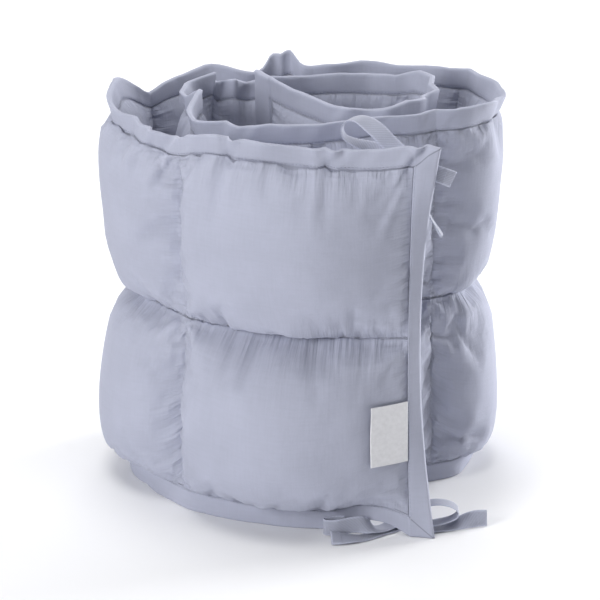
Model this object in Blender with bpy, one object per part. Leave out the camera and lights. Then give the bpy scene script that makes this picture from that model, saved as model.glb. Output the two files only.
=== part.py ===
"""A quilted crib bumper, rolled up and stood on its long edge.

The bumper is a long strip of plain cotton, filled and quilted into two rows of puffs, with a
flat hem all round. It is wound inwards, clockwise seen from above, from a free end at the front
right. Cotton tapes are sewn on at the free end's corners, and a small woven label in its seam.

Metres, +Z up. The strip stands on z = 0, with the middle of its outline over the origin. The
front is towards -Y. The tables below are read in the roll's own plan, and ROLL_MIDDLE of that plan
comes to x = 0, y = 0.
"""

import math
from collections import namedtuple

import bmesh
import bpy
from mathutils import Vector

ROLL_MIDDLE = Vector((0.0024, -0.0156, 0.0))

# The strip, laid flat.
STRIP_HEIGHT = 0.340
HEM_WIDTH = 0.018
HEM_HALF = 0.0018        # half the thickness of the hems and of the end bands
STITCHED_HALF = 0.0035   # half the thickness along a seam through the filling
MIDDLE = STRIP_HEIGHT / 2

# How full the puffs are: a high power is flat, a low one is steep at its seams.
FULL_ACROSS = 0.60
FULL_ALONG = 0.50
SAG_UPPER = 0.14         # how far the upper puffs hang down, as a share of their depth
SAG_LOWER = 0.32
LOWER_DEEPER = 1.14      # the lower puffs' depth, as a share of the upper ones'

# The free end's band is drawn in at mid height, and the bottom hem is lifted over its tape.
END_BAND = 0.022
END_PULL = 0.015
END_REACH = 0.033        # how far along the strip the pull tells, from the band's edge
LIFT = 0.0110
LIFT_AT = 0.034          # where along the strip the hem is highest, from the end seam
LIFT_HALF = 0.034        # and how far to each side of that it is lifted

# The way in which the strip is wound, a row for each seam across it and for each bend between
# two seams. x, y: the foot of the wall at rim level; rise: the top rim above its nominal
# height; flare: how far the rim stands out; tuck: how far the bottom hem is turned in under the
# puffs; drawn: how far the mid seam is pulled in; outer, inner: the puffs' depth on each side.
Row = namedtuple("Row", "kind x y rise flare tuck drawn outer inner")
WINDING = [
    Row("seam", 0.092, -0.163, 0.001, 0.000, 0.000, 0.012, 0.028, 0.016),
    Row("bend", 0.055, -0.158, -0.004, 0.001, 0.006, 0.014, 0.031, 0.018),
    Row("bend", -0.010, -0.149, -0.003, 0.001, 0.007, 0.015, 0.034, 0.020),
    Row("bend", -0.062, -0.128, 0.002, 0.000, 0.003, 0.014, 0.031, 0.018),
    Row("seam", -0.103, -0.095, -0.012, -0.003, 0.000, 0.010, 0.027, 0.018),
    Row("bend", -0.154, -0.022, -0.003, 0.003, 0.007, 0.012, 0.0225, 0.014),
    Row("bend", -0.154, 0.045, 0.004, 0.005, 0.009, 0.010, 0.0225, 0.020),
    Row("seam", -0.136, 0.084, -0.012, -0.002, 0.014, 0.008, 0.022, 0.020),
    Row("bend", -0.082, 0.116, 0.000, 0.002, 0.020, 0.010, 0.026, 0.018),
    Row("bend", -0.042, 0.122, -0.003, -0.007, 0.022, 0.010, 0.025, 0.015),
    Row("seam", -0.012, 0.125, 0.008, 0.014, 0.022, 0.010, 0.022, 0.014),
    Row("bend", 0.014, 0.128, -0.002, -0.003, 0.022, 0.010, 0.024, 0.012),
    Row("bend", 0.078, 0.130, 0.001, 0.002, 0.022, 0.010, 0.026, 0.015),
    Row("seam", 0.145, 0.104, -0.002, 0.001, 0.016, 0.008, 0.020, 0.016),
    Row("bend", 0.165, 0.042, 0.000, 0.008, 0.010, 0.012, 0.0197, 0.018),
    Row("bend", 0.154, -0.020, 0.000, 0.006, 0.011, 0.012, 0.022, 0.016),
    Row("seam", 0.117, -0.046, 0.000, 0.000, 0.005, 0.010, 0.026, 0.014),
    Row("bend", 0.040, -0.072, -0.002, 0.000, 0.008, 0.010, 0.030, 0.012),
    Row("bend", -0.020, -0.083, -0.003, 0.000, 0.006, 0.008, 0.022, 0.016),
    Row("seam", -0.060, -0.080, -0.004, 0.000, 0.006, 0.004, 0.016, 0.018),
    Row("bend", -0.087, -0.047, 0.002, 0.000, 0.006, 0.004, 0.016, 0.018),
    Row("bend", -0.096, 0.020, 0.002, 0.000, 0.006, 0.004, 0.020, 0.015),
    Row("seam", -0.082, 0.068, 0.000, 0.000, 0.006, 0.004, 0.016, 0.014),
    Row("bend", -0.018, 0.084, 0.000, 0.000, 0.006, 0.004, 0.013, 0.014),
    Row("bend", 0.045, 0.090, 0.000, 0.000, 0.006, 0.004, 0.013, 0.014),
    Row("seam", 0.098, 0.080, 0.000, 0.000, 0.006, 0.004, 0.016, 0.013),
    Row("bend", 0.114, 0.040, 0.002, 0.000, 0.006, 0.004, 0.014, 0.013),
    Row("bend", 0.103, -0.004, 0.000, 0.000, 0.004, 0.004, 0.011, 0.012),
    Row("bend", 0.070, -0.030, -0.002, 0.000, 0.004, 0.004, 0.012, 0.012),
    Row("seam", 0.032, -0.024, -0.002, 0.000, 0.004, 0.004, 0.013, 0.012),
    Row("bend", 0.013, -0.004, 0.000, 0.000, 0.004, 0.004, 0.013, 0.012),
    Row("bend", -0.006, 0.019, 0.002, 0.000, 0.004, 0.003, 0.013, 0.012),
    Row("seam", -0.024, 0.040, 0.004, 0.000, 0.004, 0.003, 0.012, 0.010),
]
PANEL_STEPS = (0.05, 0.17, 0.33, 0.50, 0.67, 0.83, 0.95)   # places between two seams across
PUFF_STEPS = (0.05, 0.18, 0.38, 0.62, 0.82, 0.95)          # places between two long seams
SPLINE_STEPS = 24                                          # fine steps between two rows

# Tapes: flat cotton tape with its ends turned in.
TAPE_WIDTH = 0.014
TAPE_THICKNESS = 0.0012

# The label, as it shows beside the end seam.
LABEL_WIDTH = 0.034
LABEL_LOW = 0.071
LABEL_HIGH = 0.122
LABEL_THICKNESS = 0.0010
LABEL_CLEARANCE = 0.0009
LABEL_STEPS = 6


def clear_scene():
    for thing in list(bpy.data.objects):
        bpy.data.objects.remove(thing)


def make_material(name, colour, roughness):
    material = bpy.data.materials.new(name)
    material.use_nodes = True
    shader = material.node_tree.nodes["Principled BSDF"]
    shader.inputs["Base Color"].default_value = (*colour, 1.0)
    shader.inputs["Roughness"].default_value = roughness
    shader.inputs["Metallic"].default_value = 0.0
    return material


def make_object(name, points, faces, material):
    """A named object from points and faces, set over the origin, with its faces turned outwards."""
    mesh = bpy.data.meshes.new(name)
    mesh.from_pydata([tuple(point - ROLL_MIDDLE) for point in points], [], faces)
    work = bmesh.new()
    work.from_mesh(mesh)
    bmesh.ops.recalc_face_normals(work, faces=work.faces)
    work.to_mesh(mesh)
    work.free()
    mesh.materials.append(material)
    mesh.shade_smooth()
    thing = bpy.data.objects.new(name, mesh)
    bpy.context.collection.objects.link(thing)
    return thing


def loft(rings):
    """Points and faces of a closed solid through rings with equal numbers of points."""
    count = len(rings[0])
    points = [point for ring in rings for point in ring]
    faces = []
    for index in range(len(rings) - 1):
        first = index * count
        for here in range(count):
            after = (here + 1) % count
            faces.append((first + here, first + after, first + count + after, first + count + here))
    last = (len(rings) - 1) * count
    for pair in range(count // 2 - 1):
        one, two = pair, count - 1 - pair
        faces.append((one, one + 1, two - 1, two))
        faces.append((last + two, last + two - 1, last + one + 1, last + one))
    return points, faces


def smooth_value(rows, at):
    """Catmull-Rom through rows of numbers, read at a fractional row."""
    index = min(int(at), len(rows) - 2)
    t = at - index
    before = rows[max(index - 1, 0)]
    after = rows[min(index + 2, len(rows) - 1)]
    result = []
    for a, b, c, d in zip(before, rows[index], rows[index + 1], after):
        result.append(0.5 * (2 * b + (c - a) * t + (2 * a - 5 * b + 4 * c - d) * t * t
                             + (3 * b - a - 3 * c + d) * t * t * t))
    return result


class Winding:
    """The wound strip as a surface: length along it from the end seam, and height."""

    def __init__(self, table):
        rows = [row[1:] for row in table]
        count = (len(rows) - 1) * SPLINE_STEPS
        self.fine = [smooth_value(rows, step / SPLINE_STEPS) for step in range(count + 1)]
        self.length = [0.0]
        for here, after in zip(self.fine, self.fine[1:]):
            self.length.append(self.length[-1] + math.dist(here[:2], after[:2]))
        self.seams = [self.length[index * SPLINE_STEPS]
                      for index, row in enumerate(table) if row.kind == "seam"]

    def at(self, length):
        """A row's values at a length; the path goes straight on past both ends."""
        if length <= 0.0:
            index, t = 0, length / self.length[1]
        else:
            index = 0
            while index < len(self.length) - 2 and self.length[index + 1] < length:
                index += 1
            t = (length - self.length[index]) / (self.length[index + 1] - self.length[index])
        ends = self.fine[index], self.fine[index + 1]
        place = [a + (b - a) * t for a, b in zip(*ends)]
        held = min(max(t, 0.0), 1.0)
        rest = [a + (b - a) * held for a, b in zip(*ends)]
        return place[:2] + rest[2:]

    def outwards(self, length):
        """The level directions out of the roll and along the strip."""
        step = 0.004
        before, after = self.at(length - step), self.at(length + step)
        along = Vector((after[0] - before[0], after[1] - before[1], 0.0)).normalized()
        return Vector((-along.y, along.x, 0.0)), along

    def fullness(self, length):
        """0 at a seam across the strip, up to 1 between two of them."""
        for start, end in zip(self.seams, self.seams[1:]):
            if start < length < end:
                return math.sin(math.pi * (length - start) / (end - start)) ** FULL_ALONG
        return 0.0

    def point(self, length, height, side, puff, half):
        """A point on one side (1 outer, -1 inner): puff is its fullness across, 0 at a seam."""
        x, y, rise, flare, tuck, drawn, outer, inner = self.at(length)
        out, along = self.outwards(length)
        level = (height - MIDDLE) / MIDDLE
        shift = -drawn * (1.0 - level * level)
        if level > 0.0:
            shift += flare * level ** 3
            height += rise * level ** 3
        else:
            shift -= tuck * level ** 4
            near = max(0.0, 1.0 - ((length - LIFT_AT) / LIFT_HALF) ** 2)
            height += LIFT * near * level ** 4
        depth = 0.0
        if puff > 0.0:
            most = outer if side > 0 else inner
            depth = most * self.fullness(length) * math.sin(math.pi * puff) ** FULL_ACROSS
        if level > 0.0:
            height -= SAG_UPPER * depth
        else:
            depth *= LOWER_DEEPER
            height -= SAG_LOWER * depth
        pulled = END_PULL * (1.0 - level * level)
        pulled *= max(0.0, 1.0 - (length + END_BAND) / END_REACH)
        place = Vector((x, y, height)) + along * pulled
        return place + out * (shift + side * (depth + half))


def section(winding, length, half):
    """One ring round the strip: down its outer side and up its inner side."""
    hem_top = STRIP_HEIGHT - HEM_WIDTH
    levels = [(STRIP_HEIGHT, 0.0, HEM_HALF), (hem_top, 0.0, HEM_HALF)]
    levels += [(hem_top + (MIDDLE - hem_top) * step, step, half) for step in PUFF_STEPS]
    levels += [(MIDDLE, 0.0, half)]
    levels += [(MIDDLE + (HEM_WIDTH - MIDDLE) * step, step, half) for step in PUFF_STEPS]
    levels += [(HEM_WIDTH, 0.0, HEM_HALF), (0.0, 0.0, HEM_HALF)]
    outer = [winding.point(length, height, 1, puff, thick) for height, puff, thick in levels]
    inner = [winding.point(length, height, -1, puff, thick) for height, puff, thick in levels]
    return outer + inner[::-1]


def make_strip(winding, cotton):
    lengths = [(winding.seams[0] - END_BAND, HEM_HALF)]
    for start, end in zip(winding.seams, winding.seams[1:]):
        lengths.append((start, STITCHED_HALF if start > winding.seams[0] else HEM_HALF))
        lengths += [(start + (end - start) * step, STITCHED_HALF) for step in PANEL_STEPS]
    lengths.append((winding.seams[-1], HEM_HALF))
    lengths.append((winding.seams[-1] + END_BAND, HEM_HALF))
    rings = [section(winding, length, half) for length, half in lengths]
    points, faces = loft(rings)
    return make_object("bumper_strip", points, faces, cotton)


def make_label(winding, woven):
    """The label lies on the front puff, with its right edge in the end seam."""
    rings = []
    for column in range(LABEL_STEPS + 1):
        length = winding.seams[0] + LABEL_WIDTH * column / LABEL_STEPS
        front, back = [], []
        for row in range(LABEL_STEPS + 1):
            height = LABEL_HIGH + (LABEL_LOW - LABEL_HIGH) * row / LABEL_STEPS
            puff = (MIDDLE - height) / (MIDDLE - HEM_WIDTH)
            out, _ = winding.outwards(length)
            base = winding.point(length, height, 1, puff, STITCHED_HALF)
            back.append(base + out * LABEL_CLEARANCE)
            front.append(base + out * (LABEL_CLEARANCE + LABEL_THICKNESS))
        rings.append(front + back[::-1])
    points, faces = loft(rings)
    return make_object("side_label", points, faces, woven)


def make_tape(name, route, material):
    """A flat tape along a route of (x, y, z, width direction) rows."""
    rows = [tuple(place) + tuple(across) for place, across in route]
    steps = 4
    fine = [smooth_value(rows, step / steps) for step in range((len(rows) - 1) * steps + 1)]
    places = [Vector(value[:3]) for value in fine]
    rings = []
    for index, value in enumerate(fine):
        before, after = places[max(index - 1, 0)], places[min(index + 1, len(places) - 1)]
        along = (after - before).normalized()
        across = Vector(value[3:])
        across = (across - along * across.dot(along)).normalized() * (TAPE_WIDTH / 2)
        thick = along.cross(across).normalized() * (TAPE_THICKNESS / 2)
        middle = places[index]
        rings.append([middle + across + thick, middle - across + thick,
                      middle - across - thick, middle + across - thick])
    points, faces = loft(rings)
    return make_object(name, points, faces, material)


UP = (0.0, 0.0, 1.0)
AWAY = (0.0, 1.0, 0.0)

# The top tape, from one hemmed end to the other: its first end shows past the free end's edge;
# it runs behind the hem, over the rim in a loop that leans on the next turn, and back to its
# stitches; its other end hangs behind the band, edge on.
TOP_TAPE = [
    ((0.1240, -0.1555, 0.3100), (0.30, 0.0, 1.0)),
    ((0.1150, -0.1574, 0.3140), (0.28, -0.05, 1.0)),
    ((0.1040, -0.1577, 0.3180), (0.25, -0.1, 1.0)),
    ((0.0900, -0.1545, 0.3230), (0.35, 0.1, 1.0)),
    ((0.0750, -0.1430, 0.3350), (0.60, 0.3, 0.7)),
    ((0.0610, -0.1330, 0.3470), (0.70, 0.3, 0.5)),
    ((0.0500, -0.1230, 0.3520), (0.60, 0.6, 0.2)),
    ((0.0410, -0.1150, 0.3500), (0.40, 0.9, 0.0)),
    ((0.0350, -0.1110, 0.3430), (0.20, 0.9, 0.0)),
    ((0.0370, -0.1120, 0.3350), (0.10, 1.0, 0.1)),
    ((0.0470, -0.1160, 0.3300), (0.10, 1.0, 0.3)),
    ((0.0620, -0.1220, 0.3270), (0.10, 0.9, 0.6)),
    ((0.0780, -0.1330, 0.3200), (0.10, 0.7, 0.8)),
    ((0.0900, -0.1430, 0.3100), (0.20, 0.6, 0.6)),
    ((0.0980, -0.1450, 0.3000), (0.30, 0.9, 0.2)),
    ((0.1020, -0.1450, 0.2880), (0.10, 1.0, 0.0)),
    ((0.1050, -0.1440, 0.2750), AWAY),
    ((0.1105, -0.1430, 0.2650), AWAY),
    ((0.1170, -0.1430, 0.2570), AWAY),
]

# The bottom tape behind the corner: its end runs out past the free end's edge, under a loop of
# itself, back to its stitches.
BACK_TAPE = [
    ((0.1590, -0.1420, 0.0076), (0.25, 0.2, 1.0)),
    ((0.1490, -0.1430, 0.0074), (0.15, 0.4, 0.9)),
    ((0.1390, -0.1445, 0.0050), (0.05, 0.8, 0.6)),
    ((0.1270, -0.1475, 0.0022), (0.0, 1.0, 0.15)),
    ((0.1130, -0.1515, 0.0012), AWAY),
    ((0.1030, -0.1535, 0.0014), AWAY),
    ((0.0985, -0.1539, 0.0042), AWAY),
    ((0.1030, -0.1535, 0.0070), AWAY),
    ((0.1130, -0.1515, 0.0070), AWAY),
    ((0.1250, -0.1480, 0.0084), AWAY),
    ((0.1330, -0.1465, 0.0125), AWAY),
    ((0.1335, -0.1465, 0.0180), AWAY),
    ((0.1270, -0.1465, 0.0225), AWAY),
    ((0.1160, -0.1465, 0.0238), AWAY),
    ((0.1030, -0.1490, 0.0235), AWAY),
]

# The bottom tape in front: its end lies out on the floor; it passes flat under the lifted hem,
# is folded back there, stands on edge along the hem, and turns back to its stitches.
FRONT_TAPE = [
    ((0.0260, -0.1790, 0.0056), (0.6, -0.6, -0.5)),
    ((0.0380, -0.1765, 0.0040), (0.5, -0.75, -0.30)),
    ((0.0520, -0.1695, 0.0012), (0.45, -0.85, -0.02)),
    ((0.0660, -0.1590, 0.0011), (0.6, -0.8, 0.0)),
    ((0.0780, -0.1500, 0.0011), (0.6, -0.75, 0.0)),
    ((0.0850, -0.1445, 0.0014), (0.6, -0.75, 0.0)),
    ((0.0882, -0.1420, 0.0034), (0.6, -0.75, 0.0)),
    ((0.0850, -0.1445, 0.0054), (0.6, -0.75, 0.0)),
    ((0.0780, -0.1500, 0.0052), (0.6, -0.75, 0.0)),
    ((0.0720, -0.1550, 0.0046), (0.6, -0.75, 0.0)),
    ((0.0650, -0.1600, 0.0054), (0.5, -0.75, -0.1)),
    ((0.0580, -0.1630, 0.0088), (0.3, -0.6, -0.6)),
    ((0.0500, -0.1645, 0.0112), (0.1, -0.2, -0.95)),
    ((0.0400, -0.1655, 0.0106), (0.0, 0.0, -1.0)),
    ((0.0300, -0.1670, 0.0094), (0.0, 0.0, -1.0)),
    ((0.0215, -0.1655, 0.0088), (0.0, 0.0, -1.0)),
    ((0.0205, -0.1610, 0.0088), (0.0, 0.0, -1.0)),
    ((0.0280, -0.1590, 0.0094), (0.0, 0.0, -1.0)),
    ((0.0380, -0.1590, 0.0098), (0.0, 0.0, -1.0)),
]


def main():
    clear_scene()
    cotton = make_material("plain_cotton", (0.40, 0.42, 0.52), 0.85)
    twill = make_material("cotton_tape", (0.38, 0.40, 0.50), 0.80)
    woven = make_material("woven_label", (0.80, 0.80, 0.82), 0.70)
    winding = Winding(WINDING)
    make_strip(winding, cotton)
    make_label(winding, woven)
    make_tape("tie_top", TOP_TAPE, twill)
    make_tape("tie_bottom_back", BACK_TAPE, twill)
    make_tape("tie_bottom_front", FRONT_TAPE, twill)


main()
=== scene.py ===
"""A quilted crib bumper, rolled up and stood on its long edge: cloth, seams, ties and label."""
import math
from collections import namedtuple

import bpy
import bmesh
import numpy as np
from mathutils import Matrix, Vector


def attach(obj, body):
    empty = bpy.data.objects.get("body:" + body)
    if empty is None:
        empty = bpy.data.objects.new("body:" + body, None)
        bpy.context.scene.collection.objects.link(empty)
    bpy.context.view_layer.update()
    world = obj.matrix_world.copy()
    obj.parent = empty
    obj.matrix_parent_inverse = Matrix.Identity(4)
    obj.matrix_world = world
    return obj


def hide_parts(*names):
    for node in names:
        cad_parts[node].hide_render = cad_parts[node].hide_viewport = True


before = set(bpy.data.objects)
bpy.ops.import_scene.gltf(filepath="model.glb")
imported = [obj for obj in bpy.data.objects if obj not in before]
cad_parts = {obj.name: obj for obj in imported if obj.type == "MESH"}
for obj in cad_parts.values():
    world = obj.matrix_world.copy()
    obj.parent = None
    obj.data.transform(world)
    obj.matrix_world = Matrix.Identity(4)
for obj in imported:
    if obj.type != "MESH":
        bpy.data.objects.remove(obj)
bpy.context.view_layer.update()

# ---------------------------------------------------------------------------------------------
# The view: the roll stands two paces away and is seen from the front, from a little above its
# rim, through a long lens that fills the square frame with it.
# ---------------------------------------------------------------------------------------------
ROLL_MIDDLE = np.array((0.0024, -0.0156, 0.0))
VIEW_DISTANCE = 2.3
VIEW_TARGET = np.array((0.0, 0.0, 0.17))
VIEW_RISE = math.radians(18.0)
VIEW_LENS = 156.2
VIEW_SHIFT = -15.2 / 600


def put_in(name, data):
    """An object at the origin for a mesh, a lamp or the camera."""
    thing = bpy.data.objects.new(name, data)
    bpy.context.collection.objects.link(thing)
    return thing


camera = bpy.data.cameras.new("view")
camera.lens = VIEW_LENS
camera.sensor_width = 36.0
camera.clip_end = 30.0
camera.shift_y = VIEW_SHIFT
viewer = put_in("view", camera)
stand_off = np.array((0.0, -math.cos(VIEW_RISE), math.sin(VIEW_RISE))) * VIEW_DISTANCE
viewer.location = Vector(VIEW_TARGET + stand_off - ROLL_MIDDLE)
viewer.rotation_euler = (math.pi / 2 - VIEW_RISE, 0.0, 0.0)
bpy.context.scene.camera = viewer

# ---------------------------------------------------------------------------------------------
# The quilted strip: two faces of plain cotton with a soft filling, sewn through in one line at
# mid height and in lines across, so that it stands in two rows of puffs. A flat double hem with
# mitred corners runs all round. It is wound inwards from its free end at the front right.
# ---------------------------------------------------------------------------------------------
STRIP_HEIGHT = 0.340
HEM_WIDTH = 0.018
HEM_TOP = STRIP_HEIGHT - HEM_WIDTH
MIDDLE = STRIP_HEIGHT / 2
END_BAND = 0.022
HEM_HALF = 0.0013
FOLD_STEP = 0.0010       # how far the hem's folded edge stands above the cloth at its root
SEAM_HALF = 0.0010
PUFF_HALF = 0.0035
FULL_ACROSS = 0.60
FULL_ALONG = 0.50
SAG_UPPER = 0.14
SAG_LOWER = 0.32
END_FALL = 0.044         # over this length the front panel falls off evenly to its end seam
END_BACK = 0.006         # the end seam is drawn back from the front at mid height
BEND_ROUND = 0.007       # the flat end band turns away from the front over this length
BEND_LEVELS = (-1.0, -0.85, -0.70, -0.35, 0.45, 0.70, 0.79, 0.90, 1.0)
BEND_TURNS = (0.0, 0.04, 0.30, 0.48, 0.46, 0.32, 0.12, 0.0, 0.0)     # radians, foot to rim
BAG_OUT = 0.004          # how far the lower puffs hang over the hem where it is tucked in most
BAG_DOWN = 0.021
BAGS = (0.20, 0.75, 0.80, 0.80, 0.85, 0.40, 0.20, 0.20, 0.20, 0.20)   # by panel, of both
GROOVE = 0.0075          # the mid seam is pulled in this much more than the cloth beside it
GROOVE_HIGH = 0.009
SAG_SLACK = 0.40         # of the lower puffs of the outer face before their filling swells them
LOWER_DEEPER = 1.14
OVERHANG = 0.0085
END_PULL = 0.015
END_REACH = 0.033
LIFT = 0.0110
LIFT_AT = 0.034
LIFT_HALF = 0.034

# A seam across or a bend between seams; x, y: the foot of the wall at rim level; how far the rim
# stands above its nominal height; how far it stands out; how far the bottom hem is turned in; how
# far the mid seam is pulled in; the puffs' depth outwards and inwards.
WINDING = [
    ("seam", 0.092, -0.163, 0.001, 0.0, 0.0, 0.012, 0.028, 0.016),
    ("bend", 0.055, -0.158, -0.004, 0.001, 0.006, 0.014, 0.031, 0.018),
    ("bend", -0.01, -0.149, -0.003, 0.001, 0.007, 0.015, 0.034, 0.02),
    ("bend", -0.062, -0.128, 0.002, 0.0, 0.003, 0.014, 0.031, 0.018),
    ("seam", -0.103, -0.095, -0.012, -0.003, 0.0, 0.01, 0.027, 0.018),
    ("bend", -0.154, -0.022, -0.003, 0.003, 0.007, 0.012, 0.0225, 0.014),
    ("bend", -0.154, 0.045, 0.004, 0.005, 0.009, 0.01, 0.0225, 0.02),
    ("seam", -0.136, 0.084, -0.012, -0.002, 0.014, 0.008, 0.022, 0.02),
    ("bend", -0.082, 0.116, 0.0, 0.002, 0.02, 0.01, 0.026, 0.018),
    ("bend", -0.042, 0.122, -0.003, -0.007, 0.022, 0.01, 0.025, 0.015),
    ("seam", -0.012, 0.125, 0.008, 0.014, 0.022, 0.01, 0.022, 0.014),
    ("bend", 0.014, 0.128, -0.002, -0.003, 0.022, 0.01, 0.024, 0.012),
    ("bend", 0.078, 0.13, 0.001, 0.002, 0.022, 0.01, 0.026, 0.015),
    ("seam", 0.145, 0.104, -0.002, 0.001, 0.016, 0.008, 0.02, 0.016),
    ("bend", 0.165, 0.042, 0.0, 0.008, 0.01, 0.012, 0.0197, 0.018),
    ("bend", 0.154, -0.02, 0.0, 0.006, 0.011, 0.012, 0.022, 0.016),
    ("seam", 0.117, -0.046, 0.0, 0.0, 0.005, 0.01, 0.026, 0.014),
    ("bend", 0.04, -0.072, -0.002, 0.0, 0.008, 0.01, 0.03, 0.012),
    ("bend", -0.02, -0.083, -0.003, 0.0, 0.006, 0.008, 0.022, 0.016),
    ("seam", -0.06, -0.08, -0.004, 0.0, 0.006, 0.004, 0.016, 0.018),
    ("bend", -0.087, -0.047, 0.002, 0.0, 0.006, 0.004, 0.016, 0.018),
    ("bend", -0.096, 0.02, 0.002, 0.0, 0.006, 0.004, 0.02, 0.015),
    ("seam", -0.082, 0.068, 0.0, 0.0, 0.006, 0.004, 0.016, 0.014),
    ("bend", -0.018, 0.084, 0.0, 0.0, 0.006, 0.004, 0.013, 0.014),
    ("bend", 0.045, 0.09, 0.0, 0.0, 0.006, 0.004, 0.013, 0.014),
    ("seam", 0.098, 0.08, 0.0, 0.0, 0.006, 0.004, 0.016, 0.013),
    ("bend", 0.114, 0.04, 0.002, 0.0, 0.006, 0.004, 0.014, 0.013),
    ("bend", 0.103, -0.004, 0.0, 0.0, 0.004, 0.004, 0.011, 0.012),
    ("bend", 0.07, -0.03, -0.002, 0.0, 0.004, 0.004, 0.012, 0.012),
    ("seam", 0.032, -0.024, -0.002, 0.0, 0.004, 0.004, 0.013, 0.012),
    ("bend", 0.013, -0.004, 0.0, 0.0, 0.004, 0.004, 0.013, 0.012),
    ("bend", -0.006, 0.019, 0.002, 0.0, 0.004, 0.003, 0.013, 0.012),
    ("seam", -0.024, 0.04, 0.004, 0.0, 0.004, 0.003, 0.012, 0.01),
]
SPLINE_STEPS = 24


def through_rows(rows, at):
    """A smooth curve through the rows of a table, read at fractional rows."""
    index = np.minimum(at.astype(int), len(rows) - 2)
    t = (at - index)[:, None]
    a = rows[np.maximum(index - 1, 0)]
    b = rows[index]
    c = rows[index + 1]
    d = rows[np.minimum(index + 2, len(rows) - 1)]
    return 0.5 * (2 * b + (c - a) * t + (2 * a - 5 * b + 4 * c - d) * t ** 2
                  + (3 * b - a - 3 * c + d) * t ** 3)


path_rows = np.array([row[1:] for row in WINDING])
path_at = np.arange((len(path_rows) - 1) * SPLINE_STEPS + 1) / SPLINE_STEPS
path = through_rows(path_rows, path_at)
path_length = np.concatenate(([0.0], np.cumsum(np.hypot(*np.diff(path[:, :2], axis=0).T))))
SEAMS = np.array([path_length[n * SPLINE_STEPS] for n, row in enumerate(WINDING)
                  if row[0] == "seam"])
STRAIGHT_ON = 0.04       # the path runs straight on past both ends
start_way = (path[0] - path[1]) / path_length[1]
end_way = (path[-1] - path[-2]) / (path_length[-1] - path_length[-2])
start_way[2:] = 0.0
end_way[2:] = 0.0
path = np.vstack((path[0] + start_way * STRAIGHT_ON, path, path[-1] + end_way * STRAIGHT_ON))
path_length = np.concatenate(([-STRAIGHT_ON], path_length, [path_length[-1] + STRAIGHT_ON]))


def path_values(length):
    return np.stack([np.interp(length, path_length, column) for column in path.T], axis=1)


def path_frame(length):
    """The level directions along the strip and out of the roll."""
    ahead = path_values(length + 0.004)[:, :2] - path_values(length - 0.004)[:, :2]
    ahead /= np.linalg.norm(ahead, axis=1)[:, None]
    flat = np.zeros(len(length))
    along = np.stack((ahead[:, 0], ahead[:, 1], flat), axis=1)
    out = np.stack((-ahead[:, 1], ahead[:, 0], flat), axis=1)
    return along, out


def eased_steps(start, end, step, press):
    """Places from start to end, set closer together at both."""
    count = max(2, int(math.ceil(abs(end - start) / step)))
    t = np.arange(count) / count
    t = t - press * np.sin(2 * math.pi * t) / (2 * math.pi)
    return start + (end - start) * t


# Columns along the strip: close together on the outer turn, which shows, wider further in.
EDGE_ROUND = 0.0013
OUTER_PANELS = 6
PANEL_STEP = (0.0033, 0.0033, 0.0040, 0.0044, 0.0036, 0.0042, 0.0046, 0.0042, 0.0062, 0.0046)
band = np.array((0.0, 0.0002, 0.0006, EDGE_ROUND, 0.0032, 0.0060, 0.0092, 0.0124, 0.0156, 0.0184,
                 0.0196, 0.0204, 0.0212))
columns = [SEAMS[0] - END_BAND + band]
for panel, (seam, next_seam) in enumerate(zip(SEAMS, SEAMS[1:])):
    columns.append(eased_steps(seam, next_seam, PANEL_STEP[panel], 0.62))
columns.append(np.array([SEAMS[-1]]))
columns.append(SEAMS[-1] + END_BAND - band[::-1])
columns = np.concatenate(columns)

# Rows down one face: the hem, the upper puff, the lower puff, the hem.
hem_steps = np.array([0.0, 0.0002, 0.0006, EDGE_ROUND, 0.0034, 0.0064, 0.0094, 0.0124, 0.0150,
                      0.0164, 0.0171, 0.0176])
rows = np.concatenate((STRIP_HEIGHT - hem_steps,
                       eased_steps(HEM_TOP, MIDDLE, 0.0036, 0.70),
                       eased_steps(MIDDLE, HEM_WIDTH, 0.0036, 0.70),
                       [HEM_WIDTH], hem_steps[::-1]))

length_grid, height_grid = np.meshgrid(columns, rows, indexing="ij")
upper = (height_grid < HEM_TOP) & (height_grid > MIDDLE)
lower = (height_grid < MIDDLE) & (height_grid > HEM_WIDTH)
across = np.where(upper, (HEM_TOP - height_grid) / (HEM_TOP - MIDDLE),
                  np.where(lower, (MIDDLE - height_grid) / (MIDDLE - HEM_WIDTH), 0.0))
panel_of = np.clip(np.searchsorted(SEAMS, columns, side="right") - 1, 0, len(SEAMS) - 2)
lengthwise = np.clip((columns - SEAMS[panel_of]) / (SEAMS[panel_of + 1] - SEAMS[panel_of]), 0, 1)
in_band = (columns < SEAMS[0]) | (columns > SEAMS[-1])
from_cross_seam = np.where(in_band, 0.0, np.minimum(columns - SEAMS[panel_of],
                                                    SEAMS[panel_of + 1] - columns))
from_long_seam = np.where(upper | lower,
                          np.minimum(np.minimum(np.abs(height_grid - HEM_TOP),
                                                np.abs(height_grid - MIDDLE)),
                                     np.abs(height_grid - HEM_WIDTH)), 0.0)


def nearest(values, wanted):
    return int(np.argmin(np.abs(values - wanted)))


def soft_noise(length, height, size, seed):
    """Smooth random relief from -1 to 1, with soft lumps of a size along and across the strip."""
    dice = np.random.default_rng(seed)
    table = dice.uniform(-1.0, 1.0, (512, 64))
    u = (length / size[0]) % 512
    v = (height / size[1] + 8.0) % 64
    i, j = u.astype(int), v.astype(int)
    fu, fv = u - i, v - j
    fu, fv = fu * fu * (3 - 2 * fu), fv * fv * (3 - 2 * fv)
    i2, j2 = (i + 1) % 512, (j + 1) % 64
    top = table[i, j] * (1 - fu) + table[i2, j] * fu
    bottom = table[i, j2] * (1 - fu) + table[i2, j2] * fu
    return top * (1 - fv) + bottom * fv


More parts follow.
